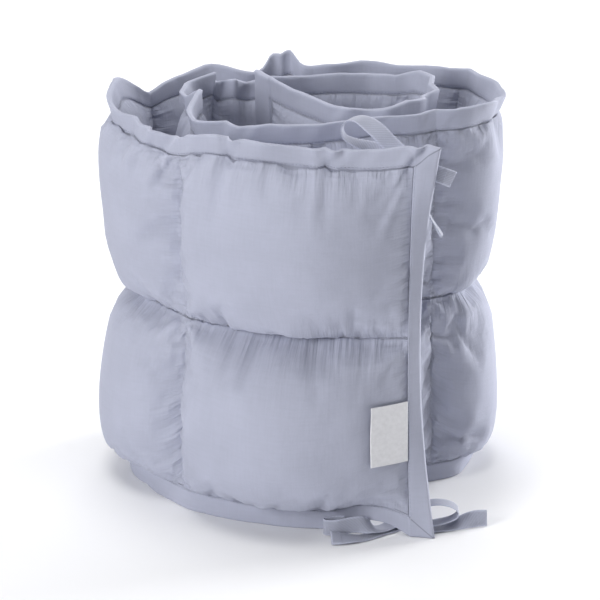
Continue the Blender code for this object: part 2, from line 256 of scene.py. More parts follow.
# The short ridges in which the cloth is gathered beside a seam: how high they are drawn, how far
# they reach, how much they lean, how wide they are and how far apart they stand. Towards a
# panel's corners they grow by the shares given.
Gathers = namedtuple("Gathers", "least power tall even corner reach reach_corner lean size apart")
BY_LONG_SEAM = Gathers(0.25, 1.4, 0.0017, 0.55, 0.75, (0.010, 0.024), 1.2, 0.22,
                       (0.0024, 0.0042), (0.0065, 0.0150))
BY_CROSS_SEAM = Gathers(0.2, 1.5, 0.0014, 0.5, 0.9, (0.009, 0.022), 1.3, 0.25,
                        (0.0024, 0.0044), (0.0070, 0.0160))
MID_SEAM_STRONGER = 1.35
GATHERED_OVER = 0.075
CORNER_FREE = 0.004


def span(mask):
    """The slice from the first to the last true place."""
    found = np.where(mask)[0]
    return slice(found[0], found[-1] + 1)


def puckers(seed):
    """The ridges beside all the seams, in metres of relief."""
    dice = np.random.default_rng(seed)
    relief = np.zeros(length_grid.shape)

    def gather(kind, strong, place, start, end, line, way, patch, off_line, along_line):
        from_seam = (off_line[patch] - line) * way
        along_line = along_line[patch]
        while place < end - CORNER_FREE:
            t = (place - start) / (end - start)
            to_corner = 1 - min(t, 1 - t) * 2
            high = (dice.uniform(kind.least, 1.0) ** kind.power * kind.tall * strong
                    * (kind.even + kind.corner * to_corner))
            reach = dice.uniform(*kind.reach) * (1 + kind.reach_corner * to_corner ** 2)
            lean = (0.5 - t) * 1.5 * to_corner + dice.uniform(-kind.lean, kind.lean)
            size = dice.uniform(*kind.size)
            near = np.clip(from_seam / 0.0035, 0, 1) * np.exp(
                -(np.clip(from_seam, 0, 1) / reach) ** 1.6)
            shape = np.exp(-((along_line - place - lean * from_seam) / size) ** 2)
            relief[patch] += np.where(from_seam > 0, high * near * shape, 0.0)
            place += dice.uniform(*kind.apart)

    for seam, next_seam in zip(SEAMS, SEAMS[1:]):
        inside = span((columns > seam) & (columns < next_seam))
        for line, way in ((HEM_TOP, -1), (MIDDLE, 1), (MIDDLE, -1), (HEM_WIDTH, 1)):
            beside = span(((rows - line) * way > 0) & (np.abs(rows - line) < GATHERED_OVER))
            gather(BY_LONG_SEAM, MID_SEAM_STRONGER if line == MIDDLE else 1.0,
                   seam + CORNER_FREE, seam, next_seam, line, way, (inside, beside),
                   height_grid, length_grid)
    for number, line in enumerate(SEAMS):
        for way in (-1, 1):
            if (number, way) in ((0, -1), (len(SEAMS) - 1, 1)):
                continue
            beside = span(((columns - line) * way > 0) & (np.abs(columns - line) < GATHERED_OVER))
            for low, high_end in ((HEM_WIDTH, MIDDLE), (MIDDLE, HEM_TOP)):
                inside = span((rows > low) & (rows < high_end))
                gather(BY_CROSS_SEAM, 1.0, low + 0.005, low, high_end, line, way,
                       (beside, inside), length_grid, height_grid)
    return relief


# Where the rim is pinched or folded: place along the strip, how far it stands out there, and how
# far it rises. Between these places the hem runs straight, so that it keeps its sharp folds.
RIM_FOLDS = [
    (-0.022, 0.0, 0.0), (-0.012, 0.002, 0.001), (-0.005, 0.003, -0.001), (0.002, 0.001, 0.0),
    (0.01, 0.001, 0.001), (0.022, 0.0, 0.0), (0.058, 0.001, -0.001), (0.065, 0.003, -0.001),
    (0.072, -0.003, 0.001), (0.079, 0.003, 0.0), (0.09, -0.001, 0.0), (0.115, 0.001, 0.0),
    (0.14, 0.003, -0.002), (0.15, 0.004, -0.004), (0.158, -0.003, -0.003), (0.164, 0.002, -0.001),
    (0.18, 0.0, 0.002), (0.196, 0.003, 0.004), (0.208, -0.001, 0.001), (0.225, 0.001, -0.001),
    (0.239, 0.003, 0.001), (0.25, -0.001, 0.0), (0.262, 0.0025, -0.001), (0.274, -0.001, 0.001),
    (0.288, 0.002, 0.0), (0.3, -0.001, 0.0), (0.315, 0.002, 0.0), (0.332, 0.002, 0.0),
    (0.35, 0.0, 0.001), (0.366, 0.003, 0.003), (0.382, 0.001, 0.002), (0.398, -0.002, 0.0),
    (0.412, 0.001, -0.003), (0.43, -0.001, 0.002), (0.452, 0.002, 0.0), (0.48, 0.004, 0.001),
    (0.496, -0.001, 0.0), (0.518, 0.0, -0.002), (0.526, -0.002, 0.0), (0.534, 0.004, 0.004),
    (0.543, -0.004, 0.0), (0.553, 0.003, 0.003), (0.56, -0.003, -0.002), (0.572, 0.003, 0.0),
    (0.585, -0.001, 0.003), (0.61, 0.002, 0.002), (0.645, -0.001, -0.002), (0.675, 0.002, 0.0),
    (0.7, -0.002, 0.002), (0.72, 0.002, 0.005), (0.745, -0.003, 0.004), (0.77, 0.001, 0.002),
    (0.796, 0.003, -0.004), (0.81, -0.002, -0.003), (0.83, 0.002, 0.0), (0.848, -0.002, 0.001),
    (0.87, 0.002, 0.0), (0.888, -0.003, 0.001), (0.905, 0.002, 0.0), (0.95, -0.002, 0.001),
    (1.0, 0.002, 0.0), (1.045, -0.001, 0.001), (1.06, 0.0, 0.0), (1.075, -0.004, 0.002),
    (1.098, 0.009, -0.003), (1.12, 0.003, 0.0), (1.148, -0.006, 0.002), (1.164, -0.015, 0.006),
    (1.174, 0.002, -0.004), (1.19, 0.006, -0.001), (1.212, 0.001, 0.002), (1.233, -0.008, 0.009),
    (1.243, 0.004, -0.004), (1.256, -0.014, 0.002), (1.27, 0.002, -0.006), (1.29, -0.003, 0.0),
    (1.325, 0.003, -0.002), (1.35, -0.003, 0.001), (1.378, 0.002, 0.0), (1.405, -0.002, 0.0),
    (1.425, 0.002, 0.006), (1.445, 0.006, 0.004), (1.46, -0.001, -0.001), (1.474, 0.006, 0.0),
    (1.49, -0.005, -0.002), (1.505, 0.003, 0.0), (1.525, -0.002, 0.002), (1.545, 0.002, 0.0),
    (1.562, -0.003, -0.002), (1.578, 0.002, 0.0), (1.596, -0.001, -0.001), (1.63, 0.001, 0.001),
    (1.66, 0.0, 0.003), (1.698, 0.0, 0.007),
]

# Folds that cross the top hem at a slant: place along the strip, half width, how far they stand
# out.
LEANING_FOLDS = [
    (0.0035, 0.003, -0.0055), (0.0115, 0.004, 0.003), (0.07, 0.0035, -0.005),
    (0.079, 0.004, 0.0035), (0.156, 0.004, -0.0045), (0.165, 0.004, 0.003),
    (0.235, 0.005, -0.0035), (0.256, 0.005, 0.0035),
]


def crumple(at, pitch, seed):
    """Random folds from -1 to 1 with sharp edges, a pitch apart."""
    dice = np.random.default_rng(seed)
    knots = np.cumsum(dice.uniform(0.45, 1.55, 900) * pitch) - 0.1
    return np.interp(at, knots, dice.uniform(-1.0, 1.0, 900))


# Single creases of the outer face: start and end (along, up), half width, depth.
CREASES = [
    (0.004, 0.232, 0.024, 0.226, 0.0026, 0.003), (0.004, 0.222, 0.03, 0.214, 0.003, 0.0034),
    (0.004, 0.196, 0.02, 0.2, 0.0024, 0.0022), (0.012, 0.3, 0.03, 0.262, 0.0032, 0.0026),
    (0.006, 0.178, 0.034, 0.19, 0.003, 0.0026), (0.206, 0.178, 0.176, 0.202, 0.0034, 0.003),
    (0.208, 0.176, 0.19, 0.196, 0.0024, 0.0022), (0.208, 0.166, 0.178, 0.15, 0.0034, 0.0028),
    (0.208, 0.314, 0.182, 0.29, 0.0034, 0.0026), (0.16, 0.172, 0.15, 0.19, 0.0026, 0.0022),
    (0.15, 0.318, 0.144, 0.292, 0.0032, 0.0022), (0.076, 0.318, 0.082, 0.29, 0.0036, 0.002),
    (0.01, 0.16, 0.036, 0.146, 0.0032, 0.0028), (0.11, 0.172, 0.104, 0.19, 0.0024, 0.0018),
    (0.12, 0.024, 0.124, 0.044, 0.0032, 0.0022), (0.19, 0.026, 0.176, 0.052, 0.0034, 0.0026),
    (0.222, 0.178, 0.246, 0.2, 0.0036, 0.0028), (0.222, 0.164, 0.244, 0.146, 0.0032, 0.0026),
    (0.222, 0.318, 0.25, 0.286, 0.0036, 0.0028), (0.262, 0.318, 0.272, 0.288, 0.0034, 0.0022),
    (0.226, 0.321, 0.244, 0.302, 0.0022, 0.0028), (0.237, 0.321, 0.258, 0.304, 0.002, 0.0024),
    (0.249, 0.321, 0.27, 0.3, 0.0022, 0.003), (0.262, 0.321, 0.28, 0.305, 0.002, 0.0024),
    (0.274, 0.321, 0.296, 0.301, 0.0022, 0.0028), (0.288, 0.321, 0.306, 0.306, 0.002, 0.0022),
    (0.3, 0.321, 0.322, 0.303, 0.0022, 0.0026), (0.316, 0.321, 0.334, 0.306, 0.002, 0.0022),
    (0.214, 0.262, 0.236, 0.268, 0.0022, 0.0024), (0.214, 0.247, 0.232, 0.251, 0.002, 0.002),
    (0.214, 0.234, 0.24, 0.24, 0.0022, 0.0026), (0.214, 0.22, 0.234, 0.224, 0.002, 0.0022),
    (0.214, 0.206, 0.238, 0.212, 0.0022, 0.0026), (0.214, 0.194, 0.232, 0.198, 0.002, 0.0022),
    (0.21, 0.254, 0.192, 0.244, 0.0022, 0.0018), (0.21, 0.232, 0.19, 0.222, 0.0022, 0.0018),
    (0.21, 0.212, 0.188, 0.206, 0.0022, 0.0018), (0.214, 0.12, 0.236, 0.112, 0.0022, 0.0022),
    (0.214, 0.096, 0.234, 0.09, 0.002, 0.002), (0.214, 0.07, 0.236, 0.062, 0.0022, 0.0022),
    (0.214, 0.146, 0.236, 0.136, 0.0022, 0.0024), (0.21, 0.11, 0.19, 0.104, 0.0022, 0.0018),
    (0.21, 0.082, 0.19, 0.076, 0.0022, 0.0018), (0.002, 0.14, 0.018, 0.136, 0.0018, 0.0022),
    (0.002, 0.152, 0.02, 0.147, 0.0018, 0.0022), (0.002, 0.128, 0.016, 0.125, 0.0018, 0.002),
    (0.002, 0.188, 0.018, 0.19, 0.0018, 0.0022), (0.002, 0.208, 0.016, 0.208, 0.0018, 0.002),
    (0.002, 0.046, 0.022, 0.056, 0.0022, 0.0024), (0.002, 0.034, 0.026, 0.042, 0.0024, 0.0026),
    (0.05, 0.172, 0.058, 0.186, 0.0026, 0.002),
]


def creased(length, height):
    """How far the single creases sink the cloth at each point."""
    deep = np.zeros(length.shape)
    for from_long, from_high, to_long, to_high, size, depth in CREASES:
        run = np.array((to_long - from_long, to_high - from_high))
        share = ((length - from_long) * run[0] + (height - from_high) * run[1]) / np.sum(run ** 2)
        share = np.clip(share, 0, 1)
        away = np.hypot(length - from_long - share * run[0], height - from_high - share * run[1])
        tapered = depth * np.sin(math.pi * (0.14 + 0.86 * share))
        deep += tapered * np.exp(-(away / (size * (1 + 0.8 * share))) ** 2)
    return deep


SLACK_DEPTHS = (0.86, 0.62, 0.80, 0.80, 0.32, 0.70, 1.0, 1.0, 1.0, 1.0)   # before filling
FULLNESS = 0.058         # the cloth is cut this much larger than its place between the seams
FILLING_PRESSURE = 8.0
SWELL_MOST = 0.014
END_STILL = 0.080        # over this length from the end seam the filling swells the cloth less
END_SWELL = 0.25
LABEL_ENDS = (0.000, 0.034)
LABEL_LEVELS = (0.066, 0.117)
CLOTH = {"quality": 4, "mass": 0.15, "tension_stiffness": 12, "compression_stiffness": 12,
         "shear_stiffness": 4, "bending_stiffness": 0.06, "tension_damping": 3,
         "compression_damping": 3, "bending_damping": 0.5, "air_damping": 4,
         "shrink_min": -FULLNESS, "vertex_group_mass": "sewn", "use_pressure": True,
         "uniform_pressure_force": FILLING_PRESSURE}
CLOTH_STEPS = 20
LUMPS = (0.055, 0.048)
SMALL_LUMPS = (0.019, 0.023)
PINCHED_FROM = 0.262     # the rim's folds reach down to this height
RIM_FROM = 0.300
FOOT_TO = 0.030
HEM_WAVES = 0.0018       # how far the cloth stands off its place in each kind of wave or fold
BAND_WAVES = 0.0022
RIM_CRUMPLED = 0.0019
RIM_RAISED = 0.0008
FOOT_CRUMPLED = 0.0016
PUFF_LUMPS = 0.0005
UNDER_LABEL = 0.006      # the cloth lies smooth under the label and this far around it
under_label = ((length_grid < LABEL_ENDS[1] + 0.008)
               & (height_grid > LABEL_LEVELS[0] - UNDER_LABEL)
               & (height_grid < LABEL_LEVELS[1] + UNDER_LABEL))


def raised(points, relief, side):
    """The points of a face moved straight out of the cloth by a relief."""
    normal = np.cross(np.gradient(points, axis=1), np.gradient(points, axis=0))
    normal /= np.maximum(np.linalg.norm(normal, axis=2), 1e-12)[:, :, None]
    return points + side * normal * relief[:, :, None]


def strip_face(side, seed):
    """The points of one face, outer (1) or inner (-1), as a grid along and across the strip."""
    values = path_values(columns)
    along, out = path_frame(columns)
    x, y, rise, flare, tuck, drawn, outer, inner = values.T[:, :, None]
    level = (height_grid - MIDDLE) / MIDDLE
    high, low = np.maximum(level, 0.0), np.maximum(-level, 0.0)
    shift = -drawn * (1 - level ** 2) + flare * high ** 3 - tuck * low ** 4
    held = np.where(in_band, 0.0, np.sin(math.pi * lengthwise) ** 0.35)[:, None]
    near_end = np.exp(-(np.clip(length_grid - SEAMS[0], 0, 1) / 0.030) ** 2)
    shift = shift - END_BACK * near_end * (1 - level ** 2) ** 2
    shift = shift - GROOVE * held * np.exp(-((height_grid - MIDDLE) / GROOVE_HIGH) ** 2)
    near_lift = np.maximum(0.0, 1 - ((length_grid - LIFT_AT) / LIFT_HALF) ** 2)
    height = height_grid + rise * high ** 3 + LIFT * near_lift * low ** 4

    full = np.where(in_band, 0.0, np.sin(math.pi * lengthwise) ** FULL_ALONG)[:, None]
    from_end = np.clip((length_grid - SEAMS[0]) / END_FALL, 0, 1)
    if side > 0:
        full = full * (1 - (1 - from_end) ** 2) ** 0.6
    depth = (outer if side > 0 else inner) * full * np.sin(math.pi * across) ** FULL_ACROSS
    depth = depth * (1 + 0.10 * soft_noise(length_grid, height_grid, LUMPS, seed))
    depth = np.where(lower, depth * LOWER_DEEPER, depth)
    height = height - np.where(lower, SAG_SLACK if side > 0 else SAG_LOWER, SAG_UPPER) * depth
    if side > 0:
        bag = np.sin(math.pi * np.clip(across, 0, 1) ** 1.9) ** 0.8 * full
        bag = bag * np.array(BAGS)[panel_of][:, None]
        bag = np.where(lower, bag, 0.0)
        slack = np.array(SLACK_DEPTHS)[panel_of][:, None]
        depth = depth * np.where(lower, np.minimum(slack + 0.07, 1.0), slack)
        lip = np.where(upper, across ** 7, 0.0) * np.sin(math.pi * across) ** 0.35
        height = height - OVERHANG * lip * full - BAG_DOWN * bag
        depth = depth + BAG_OUT * bag

    to_edge = np.minimum(height_grid, STRIP_HEIGHT - height_grid)
    to_edge = np.minimum(to_edge, (columns - columns[0])[:, None])
    to_edge = np.minimum(to_edge, (columns[-1] - columns)[:, None])
    rounded = np.sqrt(np.clip(1 - (1 - np.clip(to_edge / EDGE_ROUND, 0, 1)) ** 2, 0.02, 1))
    in_hem = in_band[:, None] | (height_grid >= HEM_TOP) | (height_grid <= HEM_WIDTH)
    hem_root = np.minimum(np.where(in_band, np.minimum(np.abs(columns - SEAMS[0]),
                                                       np.abs(columns - SEAMS[-1])), 9.0)[:, None],
                          np.where(height_grid >= HEM_TOP, height_grid - HEM_TOP,
                                   np.where(height_grid <= HEM_WIDTH,
                                            HEM_WIDTH - height_grid, 9.0)))
    band_root = np.minimum(np.abs(columns - SEAMS[0]), np.abs(columns - SEAMS[-1]))[:, None]
    edge_root = np.maximum(height_grid - HEM_TOP, HEM_WIDTH - height_grid)
    hem_root = np.where(in_band[:, None] & (edge_root > -1e-6),
                        np.maximum(band_root, edge_root), hem_root)
    proud = 1.3 * in_band[:, None] if side > 0 else 0.0
    step = FOLD_STEP * (1 + proud) * np.clip((hem_root - 0.0010) / 0.0008, 0, 1)
    seam_gap = np.minimum(from_cross_seam[:, None], from_long_seam)
    half = np.where(in_hem, HEM_HALF * rounded + step * rounded,
                    SEAM_HALF + (PUFF_HALF - SEAM_HALF) * (1 - np.exp(-seam_gap / 0.004)))
    pulled = END_PULL * (1 - level ** 2)
    pulled = pulled * np.maximum(0.0, 1 - (length_grid - SEAMS[0] + END_BAND) / END_REACH)

    # Both faces of the hem wave together.
    from_root = np.where(height_grid > HEM_TOP, height_grid - HEM_TOP,
                         np.where(height_grid < HEM_WIDTH, 0.35 * (HEM_WIDTH - height_grid), 0.0))
    from_root = from_root / HEM_WIDTH
    wave = HEM_WAVES * soft_noise(length_grid, height_grid, (0.030, 9.0), 71)
    shift = shift + wave * from_root ** 1.3
    folds = np.array(RIM_FOLDS)
    pinched = np.clip((height_grid - PINCHED_FROM) / 0.078, 0, 1) ** 1.6
    shift = shift + np.interp(length_grid, folds[:, 0], folds[:, 1]) * pinched
    height = height + np.interp(length_grid, folds[:, 0], folds[:, 2]) * pinched
    hem_only = np.clip((height_grid - RIM_FROM) / 0.040, 0, 1) ** 1.4
    leaning = length_grid + 0.75 * np.clip(height_grid - HEM_TOP, 0, 1)
    shift = shift + RIM_CRUMPLED * crumple(leaning, 0.012, 81) * hem_only
    for place, size, out_by in LEANING_FOLDS:
        shift = shift + out_by * np.exp(-((leaning - place) / size) ** 2) * hem_only
    height = height + RIM_RAISED * crumple(length_grid, 0.019, 82) * hem_only
    foot_only = np.clip((FOOT_TO - height_grid) / FOOT_TO, 0, 1) ** 1.3
    shift = shift + FOOT_CRUMPLED * crumple(length_grid, 0.016, 83) * foot_only
    band_depth = np.clip((SEAMS[0] - columns) / END_BAND, 0, 1)[:, None]
    wave_end = BAND_WAVES * soft_noise(height_grid, length_grid, (0.052, 9.0), 73)
    shift = shift + wave_end * band_depth ** 1.3
    band_far = np.clip(SEAMS[0] - length_grid, 0, 1)
    turn = np.maximum(np.interp(level, BEND_LEVELS, BEND_TURNS), 0.001)
    curved = np.minimum(band_far, BEND_ROUND) / BEND_ROUND * turn
    straight = np.maximum(band_far - BEND_ROUND, 0.0)
    shift = shift - BEND_ROUND / turn * (1 - np.cos(curved)) - straight * np.sin(turn)
    drawn_in = band_far - BEND_ROUND / turn * np.sin(curved) - straight * np.cos(turn)
    pulled = pulled + drawn_in

    points = np.stack((x + 0 * level, y + 0 * level, height), axis=2)
    points = points + along[:, None, :] * pulled[:, :, None]
    points = points + out[:, None, :] * (shift + side * (depth + half))[:, :, None]
    relief = 0.65 * puckers(seed + 5)
    relief += PUFF_LUMPS * soft_noise(length_grid, height_grid, SMALL_LUMPS, seed + 1) * full
    beside_label = length_grid > LABEL_ENDS[0] - UNDER_LABEL
    relief = np.where(under_label & beside_label & (side > 0), relief * 0.25, relief)
    points = raised(points, relief, side)
    points[:, :, 2] = np.maximum(points[:, :, 2], 0.0)
    return points - ROLL_MIDDLE


def filled(face):
    """The outer face of the outer turn, blown up softly between its sewn lines."""
    last = int(np.searchsorted(columns, SEAMS[OUTER_PANELS])) + 1
    slack = face[:last]
    count, wide = slack.shape[:2]
    corner = (np.arange(count - 1)[:, None] * wide + np.arange(wide - 1)[None, :]).reshape(-1)
    quads = np.stack((corner, corner + wide, corner + wide + 1, corner + 1), axis=1)
    mesh = bpy.data.meshes.new("slack_face")
    mesh.from_pydata(slack.reshape(-1, 3).tolist(), [], quads.tolist())
    sheet = put_in("slack_face", mesh)
    loose = (upper | lower) & (from_cross_seam[:, None] > 0.0001) & (from_long_seam > 0.0001)
    sewn = sheet.vertex_groups.new(name="sewn")
    sewn.add(np.where(~loose[:last].reshape(-1))[0].tolist(), 1.0, "REPLACE")
    swell = sheet.modifiers.new("swell", "CLOTH")
    for name, value in CLOTH.items():
        setattr(swell.settings, name, value)
    swell.settings.effector_weights.gravity = 0
    swell.collision_settings.use_collision = False
    swell.collision_settings.use_self_collision = False
    swell.point_cache.frame_start = 1
    swell.point_cache.frame_end = CLOTH_STEPS
    for number in range(1, CLOTH_STEPS + 1):
        bpy.context.scene.frame_set(number)
    found = np.zeros(count * wide * 3)
    shown = sheet.evaluated_get(bpy.context.evaluated_depsgraph_get())
    shown.data.vertices.foreach_get("co", found)
    move = found.reshape(slack.shape) - slack
    bpy.data.objects.remove(sheet)
    bpy.context.scene.frame_set(1)
    far = np.linalg.norm(move, axis=2)
    move *= (np.minimum(far, SWELL_MOST) / np.maximum(far, 1e-9))[:, :, None]
    by_end = np.clip(columns[:last] / END_STILL, 0, 1)
    move *= (END_SWELL + (1 - END_SWELL) * by_end ** 1.2)[:, None, None]
    result = face.copy()
    result[:last] += move
    result[:, :, 2] = np.maximum(result[:, :, 2], 0.0)
    return result


outer_face = strip_face(1, 11)
inner_face = strip_face(-1, 31)
outer_face = filled(outer_face)

# The filling smooths the cloth, so what its seams gather is folded in once it is full.
in_puffs = (upper | lower) & ~in_band[:, None]
by_seams = 1 - np.exp(-np.minimum(from_cross_seam[:, None], from_long_seam) / 0.0016)
folded_in = (0.55 * puckers(23) - creased(length_grid, height_grid)) * by_seams * in_puffs
outer_face = raised(outer_face, np.where(under_label, 0.0, folded_in), 1)
outer_face[:, :, 2] = np.maximum(outer_face[:, :, 2], 0.0)


ROWS_EACH_SIDE = 30      # of the mid seam
CLOTHS_APART = 0.0004


def pressed_together(face, gap):
    """Where an upper puff reaches down into the lower one, both give way by half."""
    result = face.copy()
    _, out = path_frame(columns)
    middle = nearest(rows, MIDDLE)
    sides = (np.arange(middle, middle - ROWS_EACH_SIDE, -1),
             np.arange(middle, middle + ROWS_EACH_SIDE))
    for column in np.where(~in_band)[0]:
        reach = (face[column, :, :2] - face[column, middle, :2]) @ out[column, :2]
        curves = []
        for rising in sides:
            far = np.maximum.accumulate(reach[rising])
            stop = int(np.argmax(far)) + 1
            curves.append((rising[:stop], far[:stop]))
        (over, over_far), (under, under_far) = curves
        top = face[column, :, 2]
        within = min(over_far[-1], under_far[-1])
        low = np.interp(over_far, under_far, top[under]) + gap - top[over]
        result[column, over, 2] += np.where(over_far < within, np.maximum(low, 0.0) / 2, 0.0)
        high = top[under] + gap - np.interp(under_far, over_far, top[over])
        result[column, under, 2] -= np.where(under_far < within, np.maximum(high, 0.0) / 2, 0.0)
    return result


outer_face = pressed_together(outer_face, CLOTHS_APART)


def at_level(edge, levels):
    """The plan of a column of points at given heights over the floor."""
    order = np.argsort(edge[:, 2])
    found = [np.interp(levels, edge[order, 2], edge[order, axis]) for axis in (0, 1)]
    return np.stack(found, axis=1)


def label_chord(face, levels):
    """The label's plan at given heights: where it leaves the end seam, and the puff's crown."""
    first, last = nearest(columns, SEAMS[0] + 0.0004), nearest(columns, LABEL_ENDS[1] + 0.0040)
    _, out = path_frame(columns[:last + 1])
    seam_side = at_level(face[first], levels) + out[first, :2] * 0.0030
    crown = at_level(face[last], levels)
    chord = crown - seam_side
    facing = np.stack((-chord[:, 1], chord[:, 0]), axis=1)
    facing /= np.linalg.norm(facing, axis=1)[:, None]
    facing *= np.sign(np.sum(facing * out[first, :2], axis=1))[:, None]
    return first, last, seam_side, crown, facing


def pressed_flat(face):
    """The end of the lower front puff, which the side label holds flat."""
    first, last = label_chord(face, np.array(LABEL_LEVELS))[:2]
    result = face.copy()
    for column in range(first, last + 1):
        levels = face[column, :, 2]
        seam_side, _, facing = label_chord(face, levels)[2:]
        near = np.clip((levels - LABEL_LEVELS[0] + 0.009) / 0.009, 0, 1)
        near = near * np.clip((LABEL_LEVELS[1] + 0.009 - levels) / 0.009, 0, 1)
        near = near * near * (3 - 2 * near) * lower[column]
        over = np.sum((face[column, :, :2] - seam_side) * facing, axis=1)
        result[column, :, :2] -= facing * (np.maximum(over + 0.0006, 0.0) * near)[:, None]
    return result


outer_face = pressed_flat(outer_face)


def around(front, back):
    """Two grids joined into rings, the back one turned."""
    return np.concatenate((front, back[:, ::-1]), axis=1)


def closed_sleeve(name, ring, laid, finish):
    """One closed mesh from rings of points, with a map in metres of the cloth laid flat."""
    count, wide = ring.shape[:2]
    here = np.arange(count - 1)[:, None] * wide + np.arange(wide)[None, :]
    beside = np.arange(count - 1)[:, None] * wide + (np.arange(wide)[None, :] + 1) % wide
    quads = np.stack((here, here + wide, beside + wide, beside), axis=2).reshape(-1, 4)
    pair = np.arange(wide // 2 - 1)
    cap = np.stack((pair, pair + 1, wide - 2 - pair, wide - 1 - pair), axis=1)
    faces = np.concatenate((quads, cap, (count - 1) * wide + cap[:, ::-1]))
    mesh = bpy.data.meshes.new(name)
    mesh.from_pydata(ring.reshape(-1, 3).tolist(), [], faces.tolist())
    corner = np.zeros(len(mesh.loops), dtype=np.int32)
    mesh.loops.foreach_get("vertex_index", corner)
    flat = mesh.uv_layers.new(name="laid_flat")
    flat.data.foreach_set("uv", laid.reshape(-1, 2)[corner].reshape(-1))
    work = bmesh.new()
    work.from_mesh(mesh)
    bmesh.ops.recalc_face_normals(work, faces=work.faces)
    work.to_mesh(mesh)
    work.free()
    mesh.shade_smooth()
    mesh.materials.append(finish)
    return put_in(name, mesh)


def wired(tree, kind, inputs=None, **settings):
    """A node with its settings and inputs; an input is a value or another node's output."""
    node = tree.nodes.new(kind)
    for name, value in settings.items():
        setattr(node, name, value)
    for name, value in (inputs or {}).items():
        if isinstance(value, bpy.types.NodeSocket):
            tree.links.new(value, node.inputs[name])
        else:
            node.inputs[name].default_value = value
    return node


def new_finish(name, constants):
    """A material with its tree and its shader, whose constant settings are given."""
    material = bpy.data.materials.new(name)
    material.use_nodes = True
    shader = material.node_tree.nodes["Principled BSDF"]
    for socket, value in constants.items():
        shader.inputs[socket].default_value = value
    return material, material.node_tree, shader


def laid_flat(tree):
    return wired(tree, "ShaderNodeUVMap", uv_map="laid_flat").outputs["UV"]


def reckoned(tree, operation, *values):
    return wired(tree, "ShaderNodeMath", dict(enumerate(values)), operation=operation).outputs[0]


def multiplied(tree, first, *others):
    for other in others:
        first = reckoned(tree, "MULTIPLY", first, other)
    return first


def ranged(tree, value, to_min, to_max, from_min=0.0, from_max=1.0):
    return wired(tree, "ShaderNodeMapRange", {
        "Value": value, "From Min": from_min, "From Max": from_max,
        "To Min": to_min, "To Max": to_max}).outputs[0]


def banded(tree, place, scale, distortion, way, finer=None):
    """Fine even bands, such as threads or ribs."""
    return wired(tree, "ShaderNodeTexWave", {
        "Vector": place, "Scale": scale, "Distortion": distortion, **(finer or {})},
        wave_type="BANDS", bands_direction=way).outputs["Fac"]


def mottled(tree, place, scale, detail, stretch=None):
    """Soft random spots, or streaks where they are stretched."""
    if stretch:
        place = wired(tree, "ShaderNodeMapping", {"Vector": place, "Scale": stretch}).outputs[0]
    return wired(tree, "ShaderNodeTexNoise", {
        "Vector": place, "Scale": scale, "Detail": detail}).outputs["Fac"]


def dyed(tree, shader, colour, tone):
    """The cloth's one colour, lighter and darker with its tone."""
    plain = wired(tree, "ShaderNodeRGB")
    plain.outputs[0].default_value = (*colour, 1.0)
    shade = wired(tree, "ShaderNodeVectorMath", {0: plain.outputs[0], 3: tone}, operation="SCALE")
    tree.links.new(shade.outputs[0], shader.inputs["Base Color"])


def embossed(tree, shader, *layers):
    """Layers of fine relief, each a pattern, its strength and its height."""
    under = {}
    for pattern, strength, height in layers:
        bump = wired(tree, "ShaderNodeBump", {"Height": pattern, "Strength": strength,
                                              "Distance": height, **under})
        under = {"Normal": bump.outputs[0]}
    tree.links.new(bump.outputs[0], shader.inputs["Normal"])


